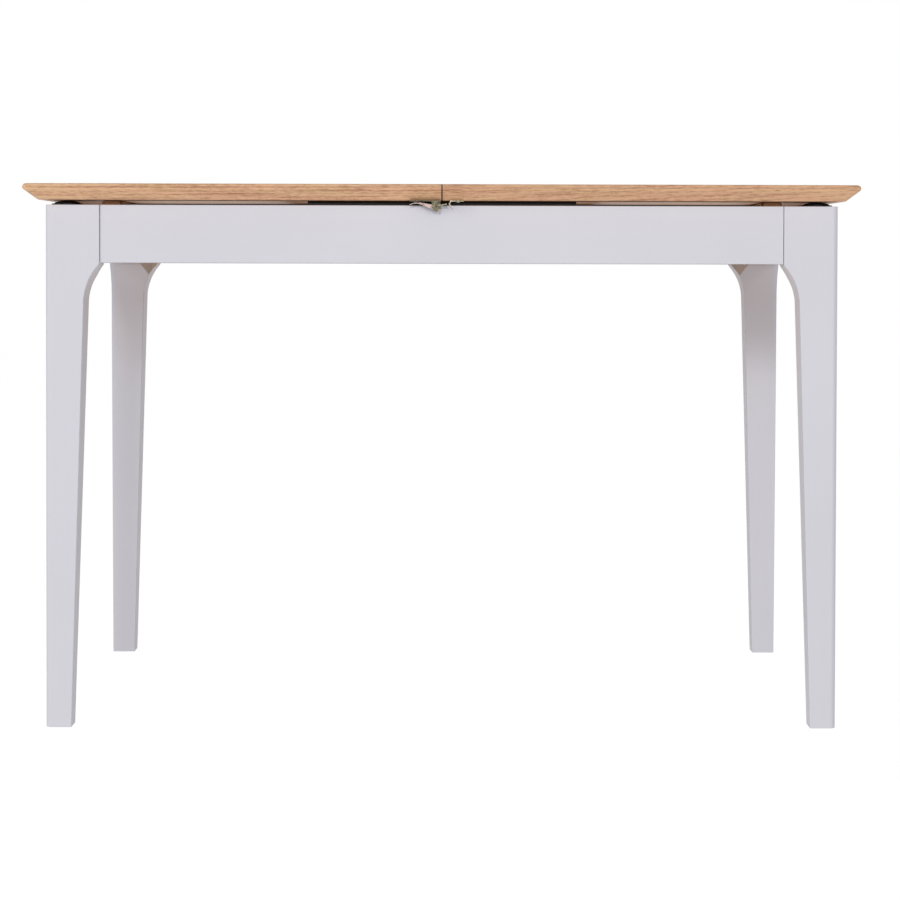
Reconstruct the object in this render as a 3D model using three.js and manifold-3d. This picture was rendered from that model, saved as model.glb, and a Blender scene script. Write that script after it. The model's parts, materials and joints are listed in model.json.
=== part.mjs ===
// Extending dining table: a fixed painted frame, an oak top in two sliding halves that part at
// the middle, and a folding oak leaf stored under the seam.
// Millimetres, +Z up, +X along the length, the front side at -Y, origin on the floor under the middle.
import * as THREE from 'three';
import { mergeVertices } from 'three/addons/utils/BufferGeometryUtils.js';
import Module from 'manifold-3d';

const wasm = await Module();
wasm.setup();

// Overall size and the gap kept between pieces that touch
const tableLength = 1200;
const tableWidth = 800;
const tableHeight = 785;
const gap = 0.3;

// Top: thickness, the long under-bevel and the rounded nose on its outer edges
const topThickness = 23;
const bevelRun = 19;
const bevelEase = 0.7;
const noseRadius = 5;
const planCornerRadius = 6;
const seamHalf = 0.6;
const underside = tableHeight - topThickness;

// Frame
const overhang = 29;
const slideClearance = 7;
const apronHeight = 83.5;
const apronThickness = 22;
const apronSetback = 2;
const apronJoint = 0.6;
const apronEdge = 1;
const frameTop = underside - slideClearance;
const apronBottom = frameTop - apronHeight;
const frameX = tableLength / 2 - overhang;
const frameY = tableWidth / 2 - overhang;
const insideX = frameX - apronSetback - apronThickness - gap;
const insideY = frameY - apronSetback - apronThickness - gap;

// Leg: square block at the top, a hollow knee on both inner faces, then a straight taper
const legBlock = 78;
const kneeWidth = 55;
const footWidth = 37;
const kneeRadius = 84;
const kneeHeight = 612;
const shoulderRadius = 9;
const legOuterRadius = 8;
const legEdgeRadius = 1.2;
const footRim = 3;
const topRim = 2;
const legChamfer = 26;
const glideInset = 28;

// Corner braces and their bolts
const braceThickness = 25;
const braceBottom = apronBottom + 8;
const braceTop = 729;
const boltHeight = 703;
const boltRadius = 4;
const boltInLeg = 36;
const boltTail = 14;
const washer = { radius: 10, thickness: 1.6 };
const nut = { radius: 7.5, thickness: 6.6 };

// Cross members
const railInner = 214;
const railWidth = 22;
const railTop = 733.5 - gap;
const railBottom = apronBottom + 8;
const bearerInner = 466;
const bearerOuter = frameX - legBlock - 0.5;
const bearerTop = underside - 0.6;
const bearerThickness = 30;
const leafRestY = 140;
const leafRestSize = { width: 25, height: 24 };

// Slides: one fixed double rail a side, with a runner for each half of the top.
// The runner's numbers are distances from the middle of the rail.
const slideCentre = 325;
const slideRailHalf = 462;
const slideRail = { height: 24, reach: 10, web: 1, sheet: 2, lip: 3, lipSheet: 1.5 };
const runnerHalf = 195;
const runner = { near: 3, barFar: 6.5, webNear: 11.5, far: 13, barHeight: 18, ledge: 8, sheet: 1.5 };

// Stored leaf, folded underside to underside
const leafLength = 400;
const leafGap = 3;
const leafTop = underside - 5;
const upperLeafBottom = leafTop - topThickness;
const lowerLeafTop = upperLeafBottom - leafGap;
const lowerLeafBottom = lowerLeafTop - topThickness;
const pivotY = -leafLength / 4;
const pivotZ = (tableHeight + lowerLeafBottom) / 2;
const armThickness = 3.2;
const armHalf = 26;
const armFoot = 6;
const armHeight = 12;
const armPocket = 4;
const pocketHeight = 18.5;
const pocketMargin = 4;
const eyeRadius = 6;
const eyeBore = 3.4;
const pivotPin = 3;
const pivotBracket = { clear: 5.5, half: 15, sheet: 2, overPin: 9, onRail: 20 };
const hingeX = 120;
const hinge = { width: 60, reach: 38, strap: 1.1, knuckle: 2.1, pin: 0.8, bore: 1.2, axisOut: 2.4 };

// Alignment dowels across the seams
const dowelRadius = 4;
const dowelReach = 10;
const dowelSeat = 20;
const dowelDrop = 11.5;
const dowelPlaces = [-300, -60, 60, 300];

// Toggle catches under the front and back edges. X is along the table from the seam, and what is
// named front and back is measured from the middle line of the catch.
const catchY = 382.5;
const catchSheet = 1.2;
const catchPlateTop = underside - gap;
const catchPlateBottom = catchPlateTop - catchSheet;
const basePlate = { x0: -46, x1: -2, front: 6.2, back: 30 };
const keeperPlate = { x0: 11.6, x1: 31, front: 2.2, back: 30 };
const earOffset = 6.8;
const earPin = { radius: 1.2, from: 4.6, to: 7 };
const leverPivot = { x: -8, z: underside - 11 };
const leverBore = 1.6;
const cheekOffset = 5.3;
const leverHalf = 5.9;
const tabSheet = 1;
const bailPivot = { x: leverPivot.x - 6, z: leverPivot.z + 2 };
const bailBore = 1.3;
const bailEnd = { x: 8.3, z: underside - 5 };
const bailRadius = 0.9;
const bailHalf = 3.6;
const bailFoot = 5.8;
const hookHalf = 2.2;

const paint = { color: 0xd4d3db, roughness: 0.5, metalness: 0 };
const oak = { color: 0xcea07d, roughness: 0.45, metalness: 0 };
const plainWood = { color: 0xb98d63, roughness: 0.7, metalness: 0 };
const blackSteel = { color: 0x1b1b1d, roughness: 0.4, metalness: 0.8 };
const zinc = { color: 0xa9a48c, roughness: 0.35, metalness: 1 };
const blackPlastic = { color: 0x121214, roughness: 0.45, metalness: 0 };

const table = new THREE.Group();

function addPart(name, geometry, finish) {
  const mesh = new THREE.Mesh(geometry, new THREE.MeshStandardMaterial(finish));
  mesh.name = name;
  table.add(mesh);
  return mesh;
}

function weld(geometry) {
  const bare = geometry.clone();
  bare.deleteAttribute('normal');
  bare.deleteAttribute('uv');
  return mergeVertices(bare, 1e-4);
}

function toSolid(geometry) {
  const welded = weld(geometry);
  return new wasm.Manifold(new wasm.Mesh({
    numProp: 3,
    vertProperties: new Float32Array(welded.attributes.position.array),
    triVerts: new Uint32Array(welded.index.array),
  }));
}

function toGeometry(solid) {
  const mesh = solid.getMesh();
  const geometry = new THREE.BufferGeometry();
  geometry.setAttribute('position', new THREE.BufferAttribute(mesh.vertProperties, 3));
  geometry.setIndex(new THREE.BufferAttribute(mesh.triVerts, 1));
  geometry.computeVertexNormals();
  return geometry;
}

function join(...geometries) {
  return toGeometry(geometries.map(toSolid).reduce((whole, piece) => whole.add(piece)));
}

function cut(geometry, ...tools) {
  return toGeometry(tools.map(toSolid).reduce((whole, tool) => whole.subtract(tool), toSolid(geometry)));
}

function box(minX, maxX, minY, maxY, minZ, maxZ) {
  const geometry = new THREE.BoxGeometry(maxX - minX, maxY - minY, maxZ - minZ);
  return geometry.translate((minX + maxX) / 2, (minY + maxY) / 2, (minZ + maxZ) / 2);
}

function rodAlongX(x0, x1, y, z, radius, sides = 12) {
  const rod = new THREE.CylinderGeometry(radius, radius, x1 - x0, sides);
  return rod.rotateZ(Math.PI / 2).translate((x0 + x1) / 2, y, z);
}

function rodAlongY(x, y0, y1, z, radius, sides = 12) {
  return new THREE.CylinderGeometry(radius, radius, y1 - y0, sides).translate(x, (y0 + y1) / 2, z);
}

function polygon(points) {
  return new THREE.Shape(points.map(([a, b]) => new THREE.Vector2(a, b)));
}

function roundedRectangle(a0, b0, a1, b1, radius) {
  const shape = new THREE.Shape();
  shape.absarc(a1 - radius, b0 + radius, radius, -Math.PI / 2, 0);
  shape.absarc(a1 - radius, b1 - radius, radius, 0, Math.PI / 2);
  shape.absarc(a0 + radius, b1 - radius, radius, Math.PI / 2, Math.PI);
  shape.absarc(a0 + radius, b0 + radius, radius, Math.PI, 1.5 * Math.PI);
  return shape;
}

function extrude(shape, depth, curveSegments = 3) {
  return new THREE.ExtrudeGeometry(shape, { depth, bevelEnabled: false, curveSegments });
}

// A section drawn in Y and Z, run along X
function extrudeAlongX(shape, x0, x1, curveSegments) {
  const turn = new THREE.Matrix4().makeBasis(
    new THREE.Vector3(0, 1, 0), new THREE.Vector3(0, 0, 1), new THREE.Vector3(1, 0, 0));
  return extrude(shape, x1 - x0, curveSegments).applyMatrix4(turn).translate(x0, 0, 0);
}

// A section drawn in X and Z, run along Y
function extrudeAlongY(shape, y0, y1, curveSegments) {
  return extrude(shape, y1 - y0, curveSegments).rotateX(Math.PI / 2).translate(0, y1, 0);
}

function extrudeUp(shape, z0, z1) {
  return extrude(shape, z1 - z0).translate(0, 0, z0);
}

// Skin a stack of level outlines, lowest first, each anticlockwise from above
function loft(rings) {
  const count = rings[0].length;
  const faces = [];
  for (let level = 0; level < rings.length - 1; level += 1) {
    for (let i = 0; i < count; i += 1) {
      const a = level * count + i;
      const b = level * count + (i + 1) % count;
      faces.push(a, b, b + count, a, b + count, a + count);
    }
  }
  const last = (rings.length - 1) * count;
  for (let i = 1; i < count - 1; i += 1) {
    faces.push(0, i + 1, i, last, last + i, last + i + 1);
  }
  const geometry = new THREE.BufferGeometry().setFromPoints(rings.flat());
  geometry.setIndex(faces);
  geometry.computeVertexNormals();
  return geometry;
}

function cornerArc(x, y, z, radius, startAngle, steps) {
  return Array.from({ length: steps + 1 }, (_, i) => {
    const angle = startAngle + (i / steps) * (Math.PI / 2);
    return new THREE.Vector3(x + radius * Math.cos(angle), y + radius * Math.sin(angle), z);
  });
}

// ---- Legs ----

// Levels of the leg as height, width and rim: a straight taper, the hollow knee arc, then the
// shoulder arc that turns back into the square block. Both arcs turn through the same angle.
function legLevels() {
  const bothRadii = kneeRadius + shoulderRadius;
  const turn = Math.acos(1 - (legBlock - kneeWidth) / bothRadii);
  const shoulderTop = kneeHeight + bothRadii * Math.sin(turn);
  const taper = (z) => footWidth + (kneeWidth - footWidth) * z / kneeHeight;
  const levels = [[0, footRim], [1.2, 1], [4, 0], [kneeHeight / 2, 0]].map(
    ([z, rim]) => [z, taper(z), rim]);
  const kneeSteps = 9;
  for (let step = 0; step <= kneeSteps; step += 1) {
    const angle = turn * step / kneeSteps;
    levels.push([
      kneeHeight + kneeRadius * Math.sin(angle), kneeWidth + kneeRadius * (1 - Math.cos(angle)), 0]);
  }
  const shoulderSteps = 3;
  for (let step = shoulderSteps - 1; step >= 0; step -= 1) {
    const angle = turn * step / shoulderSteps;
    levels.push([
      shoulderTop - shoulderRadius * Math.sin(angle), legBlock - shoulderRadius * (1 - Math.cos(angle)), 0]);
  }
  levels.push(
    [frameTop - topRim, legBlock, 0], [frameTop - 0.6, legBlock, 0.6], [frameTop, legBlock, topRim]);
  return levels;
}

// Section of the leg at one level, shrunk by the rim where the end edges are rounded over
function legRing([z, width, rim], sideX, sideY) {
  const outer = legOuterRadius - rim;
  const edge = legEdgeRadius * (1 - rim / 5);
  const high = width - rim;
  const ring = [
    ...cornerArc(rim + outer, rim + outer, z, outer, Math.PI, 5),
    ...cornerArc(high - edge, rim + edge, z, edge, 1.5 * Math.PI, 2),
    ...cornerArc(high - edge, high - edge, z, edge, 0, 2),
    ...cornerArc(rim + edge, high - edge, z, edge, Math.PI / 2, 2),
  ].map((p) => new THREE.Vector3(sideX * (frameX - p.x), sideY * (frameY - p.y), p.z));
  return sideX * sideY > 0 ? ring : ring.reverse();
}

// Direction from the middle of the table towards one corner, along the brace bolt
function boltFrame(sideX, sideY) {
  const turn = new THREE.Matrix4().makeRotationZ(Math.atan2(sideY, sideX));
  const reach = (frameX + frameY - 2 * legBlock + legChamfer) / 2;
  const lean = (frameX - frameY) / 2;
  turn.setPosition(sideX * (reach + lean), sideY * (reach - lean), boltHeight);
  return turn;
}

// The inner corner is planed off above the knee for the brace, and the cut runs out into the knee
function leg(sideX, sideY) {
  const post = loft(legLevels().map((level) => legRing(level, sideX, sideY)));
  const away = boltFrame(sideX, sideY);
  const chamfer = box(-40, 0, -60, 60, kneeHeight - boltHeight, 100).applyMatrix4(away);
  const boltHole = rodAlongX(-1, boltInLeg + 2, 0, 0, boltRadius + gap).applyMatrix4(away);
  return cut(post, chamfer, boltHole);
}

// ---- Aprons, braces and bolts ----

function apronSection(legFace, side) {
  const outer = legFace - apronSetback;
  const inner = outer - apronThickness;
  const [low, high] = side > 0 ? [inner, outer] : [-outer, -inner];
  return roundedRectangle(low, apronBottom, high, frameTop, apronEdge);
}

function longApron(side) {
  const reach = frameX - legBlock - apronJoint;
  return extrudeAlongX(apronSection(frameY, side), -reach, reach);
}

function endApron(side) {
  const reach = frameY - legBlock - apronJoint;
  return extrudeAlongY(apronSection(frameX, side), -reach, reach);
}

// A mitred block across the corner, its face against the chamfer of the leg
function cornerBrace(sideX, sideY) {
  const outerSum = frameX + frameY - 2 * legBlock + legChamfer - 2 * gap;
  const innerSum = outerSum - braceThickness * Math.SQRT2;
  const corners = [
    [innerSum - insideY, insideY], [outerSum - insideY, insideY],
    [insideX, outerSum - insideX], [insideX, innerSum - insideX],
  ];
  const outline = corners.map(([x, y]) => [sideX * x, sideY * y]);
  const block = extrudeUp(polygon(outline), braceBottom, braceTop);
  const boltHole = rodAlongX(-60, 20, 0, 0, boltRadius + gap).applyMatrix4(boltFrame(sideX, sideY));
  return cut(block, boltHole);
}

function braceBolt(sideX, sideY) {
  const innerFace = -braceThickness - 3 * gap;
  const washerFace = innerFace - washer.thickness;
  const shank = rodAlongX(innerFace - boltTail, boltInLeg, 0, 0, boltRadius);
  const disc = rodAlongX(washerFace, innerFace, 0, 0, washer.radius, 20);
  const hexagon = rodAlongX(washerFace - nut.thickness, washerFace + 0.1, 0, 0, nut.radius, 6);
  return join(shank, disc, hexagon).applyMatrix4(boltFrame(sideX, sideY));
}

// Slip button that the top slides over: a flat flange under a low dome
function legGlide(sideX, sideY) {
  const profile = [
    [0, 0], [22.5, 0], [22.5, 1.3], [21.9, 1.8], [18.6, 2.1],
    [16.4, 3.6], [12.2, 4.9], [6.6, 5.8], [0, 6],
  ];
  const dome = new THREE.LatheGeometry(profile.map(([r, z]) => new THREE.Vector2(r, z)), 28);
  return dome.rotateX(Math.PI / 2).translate(
    sideX * (frameX - glideInset), sideY * (frameY - glideInset), frameTop + gap);
}

// ---- Cross members ----

function crossRail(side) {
  const [x0, x1] = side > 0 ? [railInner, railInner + railWidth] : [-railInner - railWidth, -railInner];
  return extrudeAlongY(roundedRectangle(x0, railBottom, x1, railTop, 1.5), -insideY, insideY);
}

function crossBearer(side) {
  const [x0, x1] = side > 0 ? [bearerInner, bearerOuter] : [-bearerOuter, -bearerInner];
  return extrudeAlongY(
    roundedRectangle(x0, bearerTop - bearerThickness, x1, bearerTop, 3), -insideY, insideY);
}

function leafRest() {
  const reach = railInner - gap;
  const top = lowerLeafBottom - gap;
  const section = roundedRectangle(
    leafRestY, top - leafRestSize.height, leafRestY + leafRestSize.width, top, 1.5);
  return extrudeAlongX(section, -reach, reach);
}

// ---- Slides ----

// Fixed rail: an H section with lips, open to the front and to the back
function fixedRail(side) {
  const { height, reach, web, sheet, lip, lipSheet } = slideRail;
  const bottom = railTop + gap;
  const lipTop = bottom + sheet + lip;
  const half = [
    [web, bottom + sheet], [reach - lipSheet, bottom + sheet], [reach - lipSheet, lipTop],
    [reach, lipTop], [reach, bottom], [-reach, bottom], [-reach, lipTop],
    [-reach + lipSheet, lipTop], [-reach + lipSheet, bottom + sheet], [-web, bottom + sheet],
  ];
  const upper = half.map(([y, z]) => [-y, 2 * bottom + height - z]);
  const outline = [...half, ...upper].map(([y, z]) => [side * slideCentre - y, z]);
  return extrudeAlongX(polygon(outline), -slideRailHalf, slideRailHalf);
}

// Runner: a flange under the top, a web outside the rail and a T that runs inside it.
// face is -1 for the runner in front of the rail and +1 for the one behind it.
function slideRunner(side, face) {
  const { near, barFar, webNear, far, barHeight, ledge, sheet } = runner;
  const top = underside - gap;
  const bottom = railTop + gap + slideRail.sheet + 1;
  const shelf = bottom + ledge;
  const outline = [
    [near, bottom], [barFar, bottom], [barFar, shelf], [far, shelf], [far, top], [near, top],
    [near, top - sheet], [webNear, top - sheet], [webNear, shelf + slideRail.sheet],
    [barFar, shelf + slideRail.sheet], [barFar, bottom + barHeight], [near, bottom + barHeight],
  ];
  const placed = outline.map(([y, z]) => [side * slideCentre + face * y, z]);
  return extrudeAlongX(polygon(placed), -runnerHalf, runnerHalf);
}

// ---- Top and leaf ----

// Edge shape as steps of inset and height, from the underside up
function edgeProfile() {
  const steps = [[bevelRun + bevelEase, 0], [bevelRun - bevelEase, bevelEase]];
  for (const degrees of [-54, -25, 0, 30, 60, 90]) {
    const angle = degrees * Math.PI / 180;
    steps.push([
      noseRadius * (1 - Math.cos(angle)),
      topThickness - noseRadius * (1 - Math.sin(angle)),
    ]);
  }
  return steps;
}

// A board with the shaped edge on the named sides and square edges on the others
function board(minX, maxX, minY, maxY, shaped, bottom) {
  const rings = edgeProfile().map(([inset, height]) => {
    const z = bottom + height;
    const left = minX + (shaped.includes('left') ? inset : 0);
    const right = maxX - (shaped.includes('right') ? inset : 0);
    const front = minY + (shaped.includes('front') ? inset : 0);
    const back = maxY - (shaped.includes('back') ? inset : 0);
    const corner = (x, y, startAngle, sides) => {
      if (!sides.every((side) => shaped.includes(side))) return [new THREE.Vector3(x, y, z)];
      const radius = Math.max(planCornerRadius - inset, 1);
      const centreX = x + (sides[0] === 'left' ? radius : -radius);
      const centreY = y + (sides[1] === 'front' ? radius : -radius);
      return cornerArc(centreX, centreY, z, radius, startAngle, 4);
    };
    return [
      ...corner(left, front, Math.PI, ['left', 'front']),
      ...corner(right, front, 1.5 * Math.PI, ['right', 'front']),
      ...corner(right, back, 0, ['right', 'back']),
      ...corner(left, back, Math.PI / 2, ['left', 'back']),
    ];
  });
  return loft(rings);
}

function topHalf(side) {
  const span = side < 0 ? [-tableLength / 2, -seamHalf] : [seamHalf, tableLength / 2];
  const shaped = ['front', 'back', side < 0 ? 'left' : 'right'];
  const slab = board(...span, -tableWidth / 2, tableWidth / 2, shaped, underside);
  const depth = side < 0 ? dowelSeat + gap : dowelReach + 2;
  const holes = dowelPlaces.map((y) => {
    const ends = side < 0 ? [-depth, 1] : [-1, depth];
    return rodAlongX(...ends, y, tableHeight - dowelDrop, dowelRadius + gap);
  });
  return cut(slab, ...holes);
}

function leafDowelPlaces() {
  return dowelPlaces.filter((y) => y > 0).map((y) => y - leafLength / 2);
}

// Leaf half lying face up in store, hinged along its front edge, its shaped edge at the back.
// dowelSide is the end that takes the dowels; the other end has the holes they enter.
function leafHalf(bottom, dowelSide) {
  const half = leafLength / 2;
  const slab = board(-half, half, -half, half, ['back'], bottom);
  const pockets = [-1, 1].map((side) => {
    const [x0, x1] = side > 0 ? [half - armPocket, half + 1] : [-half - 1, -half + armPocket];
    const reach = armHalf + pocketMargin;
    return box(x0, x1, pivotY - reach, pivotY + reach, bottom - 1, bottom + pocketHeight);
  });
  const dowelZ = bottom + topThickness - dowelDrop;
  const leftDepth = dowelSide < 0 ? dowelSeat + gap : dowelReach + 2;
  const rightDepth = dowelSide > 0 ? dowelSeat + gap : dowelReach + 2;
  const holes = leafDowelPlaces().flatMap((y) => [
    rodAlongX(-half - 1, -half + leftDepth, y, dowelZ, dowelRadius + gap),
    rodAlongX(half - rightDepth, half + 1, y, dowelZ, dowelRadius + gap),
  ]);
  return cut(slab, ...pockets, ...holes);
}

function dowel(x, y, z) {
  const profile = [
    [0, -dowelSeat], [dowelRadius, -dowelSeat], [dowelRadius, dowelReach - 2],
    [dowelRadius - 1.2, dowelReach], [0, dowelReach],
  ];
  const pin = new THREE.LatheGeometry(profile.map(([r, h]) => new THREE.Vector2(r, h)), 12);
  return pin.rotateZ(-Math.PI / 2).translate(x, y, z);
}

// Hinge strap on the underside of a leaf half, with its share of the knuckles
function hingeStrap(x, lower) {
  const { width, reach, strap, knuckle, pin, bore, axisOut } = hinge;
  const axisY = -leafLength / 2 - axisOut;
  const axisZ = lowerLeafTop + leafGap / 2;
  const third = width / 3;
  const strapZ = lower ? lowerLeafTop + 0.2 : upperLeafBottom - 0.2 - strap;
  const plate = box(x - width / 2, x + width / 2, axisY + 1.4, axisY + reach, strapZ, strapZ + strap);
  const knuckleFrom = (x0, x1) => rodAlongX(x0, x1, axisY, axisZ, knuckle, 12);
  const notch = (x0, x1) => box(x0, x1, axisY - 4, axisY + 3, axisZ - 4, axisZ + 4);
  const inner = third / 2;
  if (lower) {
    const knuckles = [
      knuckleFrom(x - inner - third, x - inner), knuckleFrom(x + inner, x + inner + third)];
    const wire = rodAlongX(x - inner - 2, x + inner + 2, axisY, axisZ, pin, 8);
    return join(cut(join(plate, ...knuckles), notch(x - inner - 0.4, x + inner + 0.4)), wire);
  }
  const notches = [
    notch(x - inner - third - 1, x - inner), notch(x + inner, x + inner + third + 1)];
  const hole = rodAlongX(x - third, x + third, axisY, axisZ, bore, 12);
  return cut(join(cut(plate, ...notches), knuckleFrom(x - inner, x + inner)), hole);
}

// Arm let into the ends of the folded leaf, with the eye that it swings on
function leafArm(side) {
  const foot = lowerLeafBottom + armFoot;
  const shoulder = foot + armHeight;
  const shape = new THREE.Shape();
  shape.moveTo(pivotY - armHalf, foot);
  shape.lineTo(pivotY + armHalf, foot);
  shape.lineTo(pivotY + armHalf, shoulder);
  shape.absarc(pivotY, pivotZ, eyeRadius, 0, Math.PI);
  shape.lineTo(pivotY - armHalf, shoulder);
  const eye = new THREE.Path();
  eye.absarc(pivotY, pivotZ, eyeBore, 0, 2 * Math.PI);
  shape.holes.push(eye);
  const inner = leafLength / 2 - armThickness - gap;
  const [x0, x1] = side > 0 ? [inner, inner + armThickness] : [-inner - armThickness, -inner];
  return extrudeAlongX(shape, x0, x1, 8);
}

// Bracket on the cross rail with the pin for the arm
function leafPivot(side) {
  const { clear, half, sheet, overPin, onRail } = pivotBracket;
  const inner = leafLength / 2 + clear;
  const foot = railTop + gap;
  const pieces = [
    box(inner, inner + sheet, pivotY - half, pivotY + half, foot, pivotZ + overPin),
    box(inner, railInner + onRail, pivotY - half, pivotY + half, foot, foot + sheet),
    rodAlongX(leafLength / 2 - armPocket + 0.4, inner + 1, pivotY, pivotZ, pivotPin),
  ];
  const bracket = join(...pieces);
  return side > 0 ? bracket : bracket.rotateZ(Math.PI).translate(0, 2 * pivotY, 0);
}

// ---- Toggle catches, drawn for the front and turned round for the back ----

function catchSheetPlate({ x0, x1, front, back }) {
  return box(x0, x1, -catchY - front, -catchY + back, catchPlateBottom, catchPlateTop);
}

// The same upright sheet on both sides of the catch's middle line, each at its offset from it
function sheetPair(shape, offset, curveSegments) {
  return [-1, 1].map((side) => {
    const middle = -catchY + side * offset;
    return extrudeAlongY(shape, middle - catchSheet / 2, middle + catchSheet / 2, curveSegments);
  });
}

// Base: a screwed plate with two ears, each with a pin for the lever
function catchBase() {
  const ear = polygon([
    [-15, catchPlateBottom + 0.2], [-13, leverPivot.z - 3], [-9.5, leverPivot.z - 4],
    [-5.5, leverPivot.z - 4], [-2.5, leverPivot.z - 1], [-2, catchPlateBottom + 0.2],
  ]);
  const pins = [-1, 1].map((side) => {
    const [near, far] = [side * earPin.from, side * earPin.to].sort((a, b) => a - b);
    return rodAlongY(leverPivot.x, -catchY + near, -catchY + far, leverPivot.z, earPin.radius);
  });
  return join(catchSheetPlate(basePlate), ...sheetPair(ear, earOffset), ...pins);
}

// Lever: two cheeks, a web that stops short of the bail's pivot so that the bail can fold
// back between the cheeks, and a thumb tab turned down at its end
function catchLever() {
  const cheek = polygon([
    [-33, underside - 5], [-4.6, underside - 16.4], [-2.6, underside - 15], [-2.8, leverPivot.z + 2],
    [-6, leverPivot.z + 4], [-15, underside - 6], [-33, underside - 3],
  ]);
  for (const [pivot, radius] of [[leverPivot, leverBore], [bailPivot, bailBore]]) {
    const hole = new THREE.Path();
    hole.absarc(pivot.x, pivot.z, radius, 0, 2 * Math.PI);
    cheek.holes.push(hole);
  }
  const tabLine = [[-46.5, -6.8], [-41.5, -5], [-36.5, -4.4], [-32.5, -5.2], [-18.8, -10.8]]
    .map(([x, drop]) => [x, underside + drop]);
  const web = polygon([...tabLine, ...tabLine.map(([x, z]) => [x, z + tabSheet]).reverse()]);
  return join(
    extrudeAlongY(web, -catchY - leverHalf, -catchY + leverHalf), ...sheetPair(cheek, cheekOffset, 8));
}

// Wire bail: a U with its feet turned out into the cheeks of the lever
function catchBail() {
  const at = (pivot, y) => new THREE.Vector3(pivot.x, -catchY + y, pivot.z);
  const stops = [
    at(bailPivot, -bailFoot), at(bailPivot, -bailHalf), at(bailEnd, -bailHalf),
    at(bailEnd, bailHalf), at(bailPivot, bailHalf), at(bailPivot, bailFoot),
  ];
  const wires = stops.slice(1).map((end, i) => {
    const start = stops[i];
    const wire = new THREE.CylinderGeometry(bailRadius, bailRadius, start.distanceTo(end), 8);
    const turn = new THREE.Quaternion().setFromUnitVectors(
      new THREE.Vector3(0, 1, 0), end.clone().sub(start).normalize());
    const middle = start.clone().add(end).multiplyScalar(0.5);
    return wire.applyQuaternion(turn).translate(middle.x, middle.y, middle.z);
  });
  const elbows = stops.slice(1, -1).map((p) => new THREE.SphereGeometry(bailRadius * 1.03, 10, 6)
    .translate(p.x, p.y, p.z));
  return join(...wires, ...elbows);
}

// Keeper: a screwed plate with a bent hook
function catchKeeper() {
  const hook = polygon([
    [13.2, catchPlateTop], [12, catchPlateBottom + 0.1], [9.7, underside - 4.6], [9.7, underside - 5.6],
    [14.4, underside - 10.4], [15.2, underside - 9.6], [11.2, underside - 5.1], [13.6, catchPlateBottom],
    [14.6, catchPlateTop],
  ]);
  return join(
    catchSheetPlate(keeperPlate), extrudeAlongY(hook, -catchY - hookHalf, -catchY + hookHalf));
}

// ---- Assembly ----

const sidesX = { left: -1, right: 1 };
const sidesY = { front: -1, back: 1 };

for (const [nameY, sideY] of Object.entries(sidesY)) {
  for (const [nameX, sideX] of Object.entries(sidesX)) {
    const place = `${nameY}_${nameX}`;
    addPart(`leg_${place}`, leg(sideX, sideY), paint);
    addPart(`corner_brace_${place}`, cornerBrace(sideX, sideY), plainWood);
    addPart(`brace_bolt_${place}`, braceBolt(sideX, sideY), zinc);
    addPart(`leg_glide_${place}`, legGlide(sideX, sideY), blackPlastic);
    addPart(`slide_runner_${place}`, slideRunner(sideY, sideX), blackSteel);
  }
  addPart(`apron_${nameY}`, longApron(sideY), paint);
  addPart(`slide_rail_${nameY}`, fixedRail(sideY), blackSteel);
}

for (const [name, side] of Object.entries(sidesX)) {
  addPart(`apron_${name}`, endApron(side), paint);
  addPart(`cross_rail_${name}`, crossRail(side), plainWood);
  addPart(`cross_bearer_${name}`, crossBearer(side), plainWood);
  addPart(`top_${name}`, topHalf(side), oak);
  addPart(`leaf_pivot_${name}`, leafPivot(side), zinc);
  addPart(`leaf_arm_${name}`, leafArm(side), zinc);
}

addPart('leaf_rest', leafRest(), plainWood);

// The lower half is the same board turned over about the fold
const foldZ = (lowerLeafTop + upperLeafBottom) / 2;
addPart('leaf_half_upper', leafHalf(upperLeafBottom, 1), oak);
const lowerHalf = addPart('leaf_half_lower', leafHalf(upperLeafBottom, -1), oak);
lowerHalf.rotation.y = Math.PI;
lowerHalf.position.z = 2 * foldZ;

for (const [name, side] of Object.entries(sidesX)) {
  addPart(`leaf_hinge_${name}_upper`, hingeStrap(side * hingeX, false), zinc);
  addPart(`leaf_hinge_${name}_lower`, hingeStrap(side * hingeX, true), zinc);
}

dowelPlaces.forEach((y, i) => {
  addPart(`seam_dowel_${i + 1}`, dowel(0, y, tableHeight - dowelDrop), plainWood);
});

const upperDowelZ = leafTop - dowelDrop;
leafDowelPlaces().forEach((y, i) => {
  addPart(`leaf_dowel_upper_${i + 1}`, dowel(leafLength / 2, y, upperDowelZ), plainWood);
  addPart(`leaf_dowel_lower_${i + 1}`, dowel(leafLength / 2, y, 2 * foldZ - upperDowelZ), plainWood);
});

const catchParts = { base: catchBase(), lever: catchLever(), bail: catchBail(), keeper: catchKeeper() };
for (const [name, geometry] of Object.entries(catchParts)) {
  addPart(`front_catch_${name}`, geometry, zinc);
  addPart(`back_catch_${name}`, geometry.clone(), zinc).rotation.z = Math.PI;
}

export default table;
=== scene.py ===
import json
import math

import bpy
from mathutils import Matrix, Vector

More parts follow.
